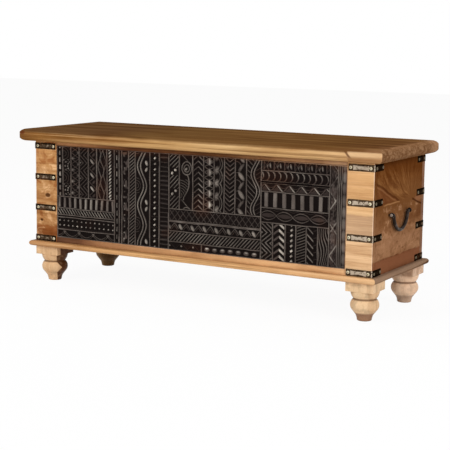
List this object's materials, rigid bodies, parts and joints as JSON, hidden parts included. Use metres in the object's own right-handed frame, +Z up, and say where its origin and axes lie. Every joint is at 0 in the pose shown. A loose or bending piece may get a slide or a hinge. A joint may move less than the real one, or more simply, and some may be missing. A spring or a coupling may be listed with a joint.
{
  "type": "wooden trunk",
  "caption": "Low wooden storage trunk with a carved front, iron corner straps, turned feet, drop handles at the ends and a round-nosed lid hinged at the back.",
  "frame": {"origin": "on the floor, under the middle of the lid", "axes": "+X to the right seen from the carved front, +Y to the back, +Z up"},
  "size_m": [1.168, 0.406, 0.457],
  "materials": {
    "lid_wood": "dark satin varnish",
    "light_wood": "satin varnish",
    "carved_wood": "dark wax, worn on the ridges",
    "side_wood": "satin varnish",
    "foot_wood": "satin varnish",
    "inner_wood": "sawn and oiled",
    "black_iron": "blackened and waxed, worn grey on the high spots",
    "nail_brass": "dull",
    "hinge_iron": "blackened",
    "screw_steel": "dull"
  },
  "bodies": {
    "root": {"front_stile_left": "light_wood", "front_stile_right": "light_wood", "front_rail_top": "light_wood", "front_rail_bottom": "light_wood", "carved_block_1": "carved_wood", "carved_block_2": "carved_wood", "carved_block_3": "carved_wood", "carved_block_4": "carved_wood", "carved_end_strip": "carved_wood", "front_backing_board": "inner_wood", "side_board_left_lower": "side_wood", "side_board_left_upper": "side_wood", "side_board_right_lower": "side_wood", "side_board_right_upper": "side_wood", "back_board_bottom": "inner_wood", "back_board_middle": "inner_wood", "back_board_top": "inner_wood", "floor_board_front": "inner_wood", "floor_board_middle": "inner_wood", "floor_board_back": "inner_wood", "glue_block_front_left": "inner_wood", "glue_block_front_right": "inner_wood", "glue_block_back_left": "inner_wood", "glue_block_back_right": "inner_wood", "plinth_front": "light_wood", "plinth_back": "light_wood", "plinth_left": "light_wood", "plinth_right": "light_wood", "foot_front_left": "foot_wood", "foot_front_right": "foot_wood", "foot_back_left": "foot_wood", "foot_back_right": "foot_wood", "foot_dowels": "inner_wood", "plinth_screws": "screw_steel", "corner_straps_front_left": "black_iron", "corner_straps_front_right": "black_iron", "corner_straps_back_left": "black_iron", "corner_straps_back_right": "black_iron", "strap_nails": "nail_brass", "handle_eyes_left": "black_iron", "handle_eyes_right": "black_iron", "hinge_left_chest_leaf": "hinge_iron", "hinge_right_chest_leaf": "hinge_iron", "hinge_chest_screws": "screw_steel", "hinge_pins": "hinge_iron"},
    "lid": {"lid_board_front": "lid_wood", "lid_board_second": "lid_wood", "lid_board_middle": "lid_wood", "lid_board_fourth": "lid_wood", "lid_board_back": "lid_wood", "lid_batten_left": "inner_wood", "lid_batten_right": "inner_wood", "lid_batten_screws": "screw_steel", "hinge_left_lid_leaf": "hinge_iron", "hinge_right_lid_leaf": "hinge_iron", "hinge_lid_screws": "screw_steel"},
    "bail_left": {"handle_bail_left": "black_iron"},
    "bail_right": {"handle_bail_right": "black_iron"}
  },
  "joints": [
    {"name": "lid_hinge", "type": "hinge", "parent": "root", "child": "lid", "pos_m": [0.0055, 0.1803, 0.421], "axis": [-1, 0, 0], "range_deg": [0, 98]},
    {"name": "bail_left_hinge", "type": "hinge", "parent": "root", "child": "bail_left", "pos_m": [-0.5508, -0.013, 0.276], "axis": [0, 1, 0], "range_deg": [-4.5, 184.5]},
    {"name": "bail_right_hinge", "type": "hinge", "parent": "root", "child": "bail_right", "pos_m": [0.5618, -0.013, 0.276], "axis": [0, -1, 0], "range_deg": [-4.5, 184.5]}
  ]
}
